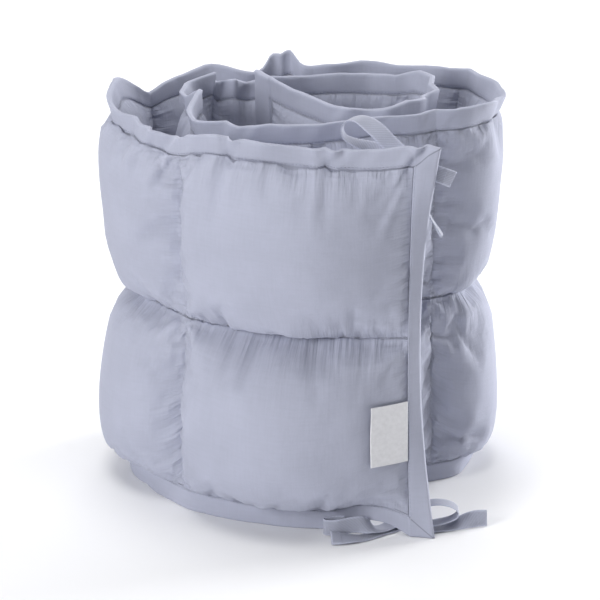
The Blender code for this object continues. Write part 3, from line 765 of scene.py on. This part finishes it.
def plain_cotton():
    """Soft plain-weave cotton: a fine even weave with slubs, gathered marks along the seams,
    rubbed ridges with painted shade in the hollows, and painted shade along the mitre folds.
    """
    material, tree, shader = new_finish("plain_cotton", {
        "Specular IOR Level": 0.25, "Sheen Weight": 0.22, "Sheen Roughness": 0.45,
        "Sheen Tint": (0.86, 0.88, 1.0, 1.0)})
    laid = laid_flat(tree)
    yarn = {"Detail": 1.0, "Detail Scale": 0.4}
    weave = multiplied(tree, banded(tree, laid, 780.0, 1.2, "X", yarn),
                       banded(tree, laid, 700.0, 1.2, "Y", yarn))
    slubs = mottled(tree, laid, 620.0, 3.0, (1.0, 0.09, 1.0))
    both_slubs = reckoned(tree, "ADD", slubs, mottled(tree, laid, 560.0, 3.0, (0.09, 1.0, 1.0)))
    cloudy = mottled(tree, laid, 26.0, 4.0)
    # Pointiness: lighter on sharp ridges as rubbed wear, darker in hollows and creases as painted
    # shade.
    rubbed_ridges_shaded_hollows = wired(tree, "ShaderNodeNewGeometry").outputs["Pointiness"]
    tree.links.new(ranged(tree, slubs, 0.78, 0.92), shader.inputs["Roughness"])

    # The mitred corners of the free end: one slanting fold in each, drawn as a line of painted
    # shade that darkens the cloth's colour.
    flat_place = wired(tree, "ShaderNodeSeparateXYZ", {"Vector": laid}).outputs
    from_edge = reckoned(tree, "ADD", flat_place[0], END_BAND)
    slant = multiplied(tree, from_edge, HEM_WIDTH / END_BAND)
    from_middle = reckoned(tree, "SUBTRACT", flat_place[1], MIDDLE)
    from_rim = reckoned(tree, "SUBTRACT", MIDDLE, reckoned(tree, "ABSOLUTE", from_middle))
    beside = reckoned(tree, "ABSOLUTE", reckoned(tree, "SUBTRACT", slant, from_rim))
    mitre_fold_shade = multiplied(tree, ranged(tree, beside, 1.0, 0.0, 0.0003, 0.0010),
                       reckoned(tree, "LESS_THAN", from_rim, HEM_WIDTH))
    # The tone carries the painted shade of the mitre folds and of the hollows, besides the slubs
    # and cloudy dye.
    tone = multiplied(tree, ranged(tree, both_slubs, 0.975, 1.025, 0.7, 1.3),
                      ranged(tree, cloudy, 0.965, 1.035, 0.3, 0.7),
                      ranged(tree, rubbed_ridges_shaded_hollows, 0.93, 1.05, 0.42, 0.58), ranged(tree, mitre_fold_shade, 1.0, 0.62))
    dyed(tree, shader, (0.415, 0.432, 0.530), tone)

    # Gathered marks: fine folds that leave each seam at right angles.
    folds_up = mottled(tree, laid, 210.0, 2.0, (1.0, 0.14, 1.0))
    folds_level = mottled(tree, laid, 210.0, 2.0, (0.14, 1.0, 1.0))
    by_long, by_cross = (wired(tree, "ShaderNodeAttribute", attribute_name=seam).outputs["Fac"]
                         for seam in ("by_long_seam", "by_cross_seam"))
    marks = reckoned(tree, "MULTIPLY_ADD", folds_level, by_cross,
                     multiplied(tree, folds_up, by_long))
    embossed(tree, shader, (marks, 0.85, 0.0042), (mottled(tree, laid, 75.0, 3.0), 0.30, 0.0016),
             (weave, 0.22, 0.00012), (both_slubs, 0.30, 0.00025))
    return material


cover = closed_sleeve("strip_cover", around(outer_face, inner_face),
                      np.stack((around(length_grid, length_grid),
                                around(height_grid, height_grid)), axis=2), plain_cotton())
for near_seam, near in (("by_long_seam", np.exp(-from_long_seam / 0.012)),
                        ("by_cross_seam", np.exp(-from_cross_seam[:, None] / 0.013))):
    near = near * in_puffs
    cover.data.attributes.new(near_seam, "FLOAT", "POINT").data.foreach_set(
        "value", around(near, near).reshape(-1))
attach(cover, "root")
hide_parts("bumper_strip")

# ---------------------------------------------------------------------------------------------
# The stitching: one line of thread along each hem's root, and along the mid seam and each seam
# across of the outer turn.
# Every stitch is a short grain of thread that lies a hair above the cloth.
# ---------------------------------------------------------------------------------------------
STRIP_STITCH = {"Pitch": 0.0031, "Stitch Length": 0.0025, "Thread Thickness": 0.00055}
STITCH_IN_HEM = 0.0020


def seam_lines():
    """Polylines on both faces, a hair above the cloth, where the thread lies."""
    lines = []
    last_outer = int(np.searchsorted(columns, SEAMS[OUTER_PANELS])) + 1
    hem_rows = [nearest(rows, HEM_TOP + STITCH_IN_HEM), nearest(rows, HEM_WIDTH - STITCH_IN_HEM)]
    end_column = nearest(columns, SEAMS[0] - STITCH_IN_HEM)
    inner_column = nearest(columns, SEAMS[-1] + STITCH_IN_HEM)
    _, out = path_frame(columns)
    for side, face in ((1, outer_face), (-1, inner_face)):
        lifted = face + side * 0.00020 * out[:, None, :]
        for row in hem_rows:
            lines.append(lifted[end_column:inner_column + 1, row])
        for column in (end_column, inner_column):
            lines.append(lifted[column, hem_rows[0]:hem_rows[1] + 1])
        lines.append(lifted[nearest(columns, SEAMS[0]):last_outer, nearest(rows, MIDDLE)])
        for seam in SEAMS[1:OUTER_PANELS + 1]:
            lines.append(lifted[nearest(columns, seam), nearest(rows, HEM_TOP):
                                nearest(rows, HEM_WIDTH) + 1])
    return lines


def sewing_thread():
    """Fine twisted thread, a shade lighter than the cloth."""
    material, tree, shader = new_finish("sewing_thread", {"Roughness": 0.6, "Sheen Weight": 0.3})
    place = wired(tree, "ShaderNodeTexCoord").outputs["Object"]
    twist = banded(tree, place, 900.0, 2.0, "DIAGONAL")
    dyed(tree, shader, (0.46, 0.48, 0.58), ranged(tree, twist, 0.85, 1.1))
    embossed(tree, shader, (twist, 0.4, 0.0001))
    return material


def stitch_tree(thread):
    """Grains of thread along every line of a mesh, each turned along its line."""
    tree = bpy.data.node_groups.new("stitches", "GeometryNodeTree")
    tree.interface.new_socket("Geometry", in_out="INPUT", socket_type="NodeSocketGeometry")
    for name, value in STRIP_STITCH.items():
        socket = tree.interface.new_socket(name, in_out="INPUT", socket_type="NodeSocketFloat")
        socket.default_value = value
    tree.interface.new_socket("Geometry", in_out="OUTPUT", socket_type="NodeSocketGeometry")
    given = tree.nodes.new("NodeGroupInput").outputs
    curve = wired(tree, "GeometryNodeMeshToCurve", {"Mesh": given["Geometry"]})
    spaced = wired(tree, "GeometryNodeResampleCurve", {"Curve": curve.outputs[0],
                                                       "Length": given["Pitch"]}, mode="LENGTH")
    grain = wired(tree, "GeometryNodeMeshIcoSphere", {"Radius": 0.5, "Subdivisions": 1})
    tangent = wired(tree, "GeometryNodeInputTangent")
    turned = wired(tree, "FunctionNodeAlignRotationToVector", {"Vector": tangent.outputs[0]},
                   axis="Z")
    size = wired(tree, "ShaderNodeCombineXYZ", {"X": given["Thread Thickness"],
                                                "Y": given["Thread Thickness"],
                                                "Z": given["Stitch Length"]})
    placed = wired(tree, "GeometryNodeInstanceOnPoints", {
        "Points": spaced.outputs[0], "Instance": grain.outputs[0],
        "Rotation": turned.outputs[0], "Scale": size.outputs[0]})
    real = wired(tree, "GeometryNodeRealizeInstances", {"Geometry": placed.outputs[0]})
    smooth = wired(tree, "GeometryNodeSetShadeSmooth", {"Geometry": real.outputs[0]})
    dressed = wired(tree, "GeometryNodeSetMaterial", {"Geometry": smooth.outputs[0],
                                                      "Material": thread})
    shown = tree.nodes.new("NodeGroupOutput")
    tree.links.new(dressed.outputs[0], shown.inputs[0])
    return tree


def stitched(name, lines, sizes):
    """A plain mesh of stitches along polylines."""
    points, edges = [], []
    for line in lines:
        first = len(points)
        points += [tuple(point) for point in line]
        edges += [(first + n, first + n + 1) for n in range(len(line) - 1)]
    guide_mesh = bpy.data.meshes.new(name + "_lines")
    guide_mesh.from_pydata(points, edges, [])
    guide = put_in(name + "_lines", guide_mesh)
    maker = guide.modifiers.new("stitches", "NODES")
    maker.node_group = stitch_maker
    for item in stitch_maker.interface.items_tree:
        if item.in_out == "INPUT" and item.name in sizes:
            maker[item.identifier] = sizes[item.name]
    guide.update_tag()
    depsgraph = bpy.context.evaluated_depsgraph_get()
    mesh = bpy.data.meshes.new_from_object(guide.evaluated_get(depsgraph))
    mesh.name = name
    bpy.data.objects.remove(guide)
    return put_in(name, mesh)


stitch_maker = stitch_tree(sewing_thread())
stitching = stitched("strip_stitching", seam_lines(), STRIP_STITCH)
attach(stitching, "root")

# ---------------------------------------------------------------------------------------------
# The ties: flat twill tape, 14 mm wide, sewn on behind the free end's corners. Each free end is
# turned back on itself and sewn down across.
# ---------------------------------------------------------------------------------------------
TAPE_WIDTH = 0.014
TAPE_THICK = 0.0010
TAPE_HEM = 0.0090
TURNED_THICK = 0.0009    # what the turned end adds
TAPE_STITCH = {"Pitch": 0.0023, "Stitch Length": 0.0018, "Thread Thickness": 0.00045}
AWAY = (0.0, 1.0, 0.0)
DOWN = (0.0, 0.0, -1.0)
TOP_TAPE = [
    ((0.124, -0.1555, 0.31), (0.3, 0.0, 1.0)), ((0.115, -0.1574, 0.314), (0.28, -0.05, 1.0)),
    ((0.104, -0.1562, 0.318), (0.25, -0.1, 1.0)), ((0.09, -0.1512, 0.323), (0.35, 0.1, 1.0)),
    ((0.075, -0.143, 0.335), (0.6, 0.3, 0.7)), ((0.061, -0.133, 0.347), (0.7, 0.3, 0.5)),
    ((0.05, -0.123, 0.352), (0.6, 0.6, 0.2)), ((0.041, -0.115, 0.35), (0.4, 0.9, 0.0)),
    ((0.035, -0.111, 0.343), (0.2, 0.9, 0.0)), ((0.037, -0.112, 0.335), (0.1, 1.0, 0.1)),
    ((0.047, -0.116, 0.33), (0.1, 1.0, 0.3)), ((0.062, -0.122, 0.327), (0.1, 0.9, 0.6)),
    ((0.078, -0.133, 0.32), (0.1, 0.7, 0.8)), ((0.09, -0.1385, 0.31), (0.2, 0.6, 0.6)),
    ((0.099, -0.1385, 0.3), (0.3, 0.9, 0.2)), ((0.104, -0.137, 0.288), (0.1, 1.0, 0.0)),
    ((0.1065, -0.136, 0.275), AWAY), ((0.1115, -0.1365, 0.265), AWAY),
    ((0.117, -0.138, 0.257), AWAY),
]
BACK_TAPE = [
    ((0.159, -0.142, 0.0076), (0.25, 0.2, 1.0)), ((0.149, -0.143, 0.0074), (0.15, 0.4, 0.9)),
    ((0.139, -0.1445, 0.005), (0.05, 0.8, 0.6)), ((0.127, -0.1475, 0.0022), (0.0, 1.0, 0.15)),
    ((0.113, -0.1515, 0.0012), AWAY), ((0.103, -0.1519, 0.0014), AWAY),
    ((0.0985, -0.1522, 0.0042), AWAY), ((0.103, -0.1519, 0.007), AWAY),
    ((0.113, -0.1515, 0.007), AWAY), ((0.125, -0.148, 0.0084), AWAY),
    ((0.133, -0.1465, 0.0125), AWAY), ((0.1335, -0.1465, 0.018), AWAY),
    ((0.127, -0.1465, 0.0225), AWAY), ((0.116, -0.1465, 0.0238), AWAY),
    ((0.103, -0.149, 0.0235), AWAY),
]
FRONT_TAPE = [
    ((0.026, -0.179, 0.0056), (0.6, -0.6, -0.5)), ((0.038, -0.1765, 0.004), (0.5, -0.75, -0.3)),
    ((0.052, -0.1695, 0.0012), (0.45, -0.85, -0.02)), ((0.066, -0.159, 0.0011), (0.6, -0.8, 0.0)),
    ((0.078, -0.15, 0.0011), (0.6, -0.75, 0.0)), ((0.085, -0.1445, 0.0014), (0.6, -0.75, 0.0)),
    ((0.0882, -0.142, 0.0034), (0.6, -0.75, 0.0)), ((0.085, -0.1445, 0.0054), (0.6, -0.75, 0.0)),
    ((0.078, -0.15, 0.0052), (0.6, -0.75, 0.0)), ((0.072, -0.155, 0.0046), (0.6, -0.75, 0.0)),
    ((0.065, -0.16, 0.0054), (0.5, -0.75, -0.1)), ((0.058, -0.163, 0.0088), (0.3, -0.6, -0.6)),
    ((0.05, -0.1645, 0.0112), (0.1, -0.2, -0.95)), ((0.04, -0.1655, 0.0106), DOWN),
    ((0.03, -0.167, 0.0094), DOWN), ((0.0215, -0.1655, 0.0088), DOWN),
    ((0.0205, -0.161, 0.0088), DOWN), ((0.028, -0.159, 0.0094), DOWN),
    ((0.038, -0.159, 0.0098), DOWN),
]
ACROSS = np.array((-0.5, -0.46, -0.25, 0.0, 0.25, 0.46, 0.5))
SELVEDGE = np.array((0.35, 1.0, 0.85, 0.85, 0.85, 1.0, 0.35))


def tape_frame(route):
    """Even steps along a tape: places, directions across and through it, and the length so far."""
    table = np.array([place + across for place, across in route])
    fine = through_rows(table, np.linspace(0, len(table) - 1, (len(table) - 1) * 30 + 1))
    strides = np.linalg.norm(np.diff(fine[:, :3], axis=0), axis=1)
    so_far = np.concatenate(([0.0], np.cumsum(strides)))
    steps = np.linspace(0.0, so_far[-1], int(so_far[-1] / 0.0011) + 1)
    at = np.stack([np.interp(steps, so_far, column) for column in fine.T], axis=1)
    place, wide = at[:, :3], at[:, 3:]
    ahead = np.gradient(place, axis=0)
    ahead /= np.linalg.norm(ahead, axis=1)[:, None]
    wide = wide - ahead * np.sum(wide * ahead, axis=1)[:, None]
    wide /= np.linalg.norm(wide, axis=1)[:, None]
    return place, wide, np.cross(ahead, wide), steps


def make_tape(name, node, route, ends, twill):
    """A tape with a turned and sewn end at the start of its route, and at its end where asked."""
    place, wide, through, steps = tape_frame(route)
    whole = steps[-1]
    thick = np.full(len(steps), TAPE_THICK)
    for end in ends:
        from_end = steps if end == "start" else whole - steps
        thick += TURNED_THICK * np.clip((TAPE_HEM - from_end) / 0.0010, 0, 1) * np.clip(
            0.4 + from_end / 0.0012, 0, 1)
    ripple = 0.00025 * np.sin(steps / 0.0042)[:, None]
    half = thick[:, None] / 2 * SELVEDGE
    flat = place[:, None, :] + wide[:, None, :] * (ACROSS * TAPE_WIDTH)[None, :, None]
    top = flat + through[:, None, :] * (half + ripple)[:, :, None]
    under = flat - through[:, None, :] * (half - ripple)[:, :, None]
    sideways = np.concatenate((ACROSS, ACROSS[::-1])) * TAPE_WIDTH
    piece = closed_sleeve(name, around(top, under) - ROLL_MIDDLE,
                          np.stack(np.meshgrid(sideways, steps), axis=2), twill)

    lines = []
    for end in ends:
        at = nearest(steps if end == "start" else whole - steps, TAPE_HEM - 0.0016)
        for side in (1, -1):
            lift = through[at] * side * (thick[at] / 2 + 0.00010)
            row = [place[at] + wide[at] * w * TAPE_WIDTH + lift - ROLL_MIDDLE
                   for w in np.linspace(-0.42, 0.42, 8)]
            lines.append(row)
    sewn = stitched(name + "_stitching", lines, TAPE_STITCH)
    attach(piece, "root")
    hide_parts(node)
    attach(sewn, "root")


def twill_tape():
    """Cotton twill: slanting ribs between two firm selvedges, a touch darker than the cloth, its
    colour lighter along both edges and at the start of the tape.
    """
    material, tree, shader = new_finish("cotton_tape", {
        "Roughness": 0.82, "Specular IOR Level": 0.25, "Sheen Weight": 0.25})
    laid = laid_flat(tree)
    ribs = banded(tree, laid, 230.0, 0.5, "DIAGONAL", {"Detail": 1.0})
    fibres = mottled(tree, laid, 1100.0, 3.0)
    flat_place = wired(tree, "ShaderNodeSeparateXYZ", {"Vector": laid}).outputs
    sideways = reckoned(tree, "ABSOLUTE", flat_place[0])
    # The colour is lighter along both edges and over the first millimetres of the tape.
    lighter_edges = ranged(tree, sideways, 0.95, 1.22, 0.0052, 0.0066)
    lighter_at_start = ranged(tree, flat_place[1], 1.22, 0.95, 0.0004, 0.0016)
    tone = multiplied(tree, ranged(tree, ribs, 0.92, 1.04),
                      ranged(tree, fibres, 0.95, 1.05, 0.3, 0.7),
                      reckoned(tree, "MAXIMUM", lighter_edges, lighter_at_start))
    dyed(tree, shader, (0.395, 0.412, 0.505), tone)
    embossed(tree, shader, (ribs, 0.5, 0.0002), (fibres, 0.3, 0.0001))
    return material


twill = twill_tape()
for name, node, route, ends in (
        ("top_tape", "tie_top", TOP_TAPE, ("start", "end")),
        ("bottom_tape_back", "tie_bottom_back", BACK_TAPE, ("start",)),
        ("bottom_tape_front", "tie_bottom_front", FRONT_TAPE, ("start",))):
    make_tape(name, node, route, ends, twill)

# ---------------------------------------------------------------------------------------------
# The side label: a soft woven tape of unbleached white, folded double with its fold at the left,
# and caught in the end seam at its right. It lies on the lower front puff.
# ---------------------------------------------------------------------------------------------
LABEL_THICK = 0.0009
LABEL_LIFT = 0.0011
LABEL_ROUND = 0.0016
label_along = np.concatenate((np.linspace(0.0, 0.0315, 30), [0.0325, 0.0333, 0.0338, 0.0340]))
label_down = np.concatenate(([0.1170, 0.1168, 0.1163], np.linspace(0.1155, 0.0675, 40),
                             [0.0667, 0.0662, 0.0660]))


def label_points():
    """The label's front and back, flat across the end of the puff and caught in the end seam."""
    _, _, seam_side, crown, facing = label_chord(outer_face, label_down)
    ends = []
    for plan in (seam_side, crown):
        level = np.polynomial.polynomial.polyfit(label_down, plan, 2)
        ends.append(np.polynomial.polynomial.polyval(label_down, level).T)
    share = (label_along / (label_along[-1] + 0.0040))[:, None, None]
    base = ends[0][None] * (1 - share) + ends[1][None] * share
    slope = label_down[None, :] + 0.0012 * share[:, :, 0]
    base = np.concatenate((base, slope[:, :, None]), axis=2)
    middle_facing = facing[len(facing) // 2]
    out = np.array((middle_facing[0], middle_facing[1], 0.0))
    free = (label_along / label_along[-1])[:, None]
    bow = 0.0016 * np.sin(math.pi * free * 0.8) + 0.0010 * free ** 4
    waved = 0.0006 * np.sin(label_down[None, :] / 0.0085 + 0.6) * free
    middle = LABEL_LIFT + bow + waved
    edge = np.minimum(label_down - label_down[-1], label_down[0] - label_down)[None, :]
    edge = np.minimum(edge, (label_along[-1] - label_along)[:, None])
    rounded = np.sqrt(np.clip(1 - (1 - np.clip(edge / LABEL_ROUND, 0, 1)) ** 2, 0.03, 1))
    swell = 1 + 0.5 * np.exp(-((label_along[-1] - label_along)[:, None] / 0.004) ** 2)
    half = LABEL_THICK / 2 * rounded * swell
    return [base + out * (middle + sign * half)[:, :, None] for sign in (1, -1)]


def woven_label():
    """Off-white satin weave: fine level ribs, softly mottled."""
    material, tree, shader = new_finish("woven_label", {"Roughness": 0.62, "Sheen Weight": 0.2})
    laid = laid_flat(tree)
    weave = multiplied(tree, banded(tree, laid, 520.0, 1.0, "Y"),
                       banded(tree, laid, 900.0, 1.0, "X"))
    mottle = mottled(tree, laid, 260.0, 4.0)
    dyed(tree, shader, (0.76, 0.76, 0.79), ranged(tree, mottle, 0.93, 1.04, 0.3, 0.7))
    embossed(tree, shader, (weave, 0.5, 0.00015), (mottle, 0.3, 0.0004))
    return material


label_heights = np.concatenate((label_down, label_down[::-1]))
label = closed_sleeve("label_cloth", around(*label_points()),
                      np.stack(np.meshgrid(label_along, label_heights, indexing="ij"), axis=2),
                      woven_label())
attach(label, "root")
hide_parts("side_label")

# ---------------------------------------------------------------------------------------------
# The studio: a plain pale floor, a large soft light low at the front left, one behind at the
# right, one overhead and one over the far floor, and a dim even surround that fills the shadows.
# ---------------------------------------------------------------------------------------------
floor_mesh = bpy.data.meshes.new("floor")
floor_mesh.from_pydata([(-6, -6, 0), (6, -6, 0), (6, 8, 0), (-6, 8, 0)], [], [(0, 1, 2, 3)])
floor = put_in("floor", floor_mesh)
pale = bpy.data.materials.new("pale_floor")
pale.use_nodes = True
floor_shader = pale.node_tree.nodes["Principled BSDF"]
floor_shader.inputs["Base Color"].default_value = (0.93, 0.93, 0.94, 1.0)
floor_shader.inputs["Roughness"].default_value = 0.9
floor_mesh.materials.append(pale)

surround = bpy.data.worlds.new("surround")
surround.use_nodes = True
surround.node_tree.nodes["Background"].inputs["Color"].default_value = (0.97, 0.98, 1.0, 1.0)
surround.node_tree.nodes["Background"].inputs["Strength"].default_value = 0.19
bpy.context.scene.world = surround


def soft_light(name, place, aim, size, power):
    lamp = bpy.data.lights.new(name, "AREA")
    lamp.shape = "SQUARE"
    lamp.size = size
    lamp.energy = power
    holder = put_in(name, lamp)
    holder.location = place
    holder.rotation_euler = (Vector(aim) - Vector(place)).to_track_quat("-Z", "Y").to_euler()


soft_light("key_light", (-1.86, -1.86, 1.08), (0.0, 0.0, 0.17), 1.2, 44.0)
soft_light("right_light", (2.37, 1.37, 0.75), (0.0, 0.0, 0.17), 1.2, 88.0)
soft_light("top_light", (-0.2, -0.1, 2.5), (0.0, 0.0, 0.0), 1.5, 29.0)
soft_light("floor_wash", (-0.8, 3.6, 2.4), (-0.8, 3.6, 0.0), 3.0, 110.0)
bpy.context.scene.view_settings.view_transform = "Standard"
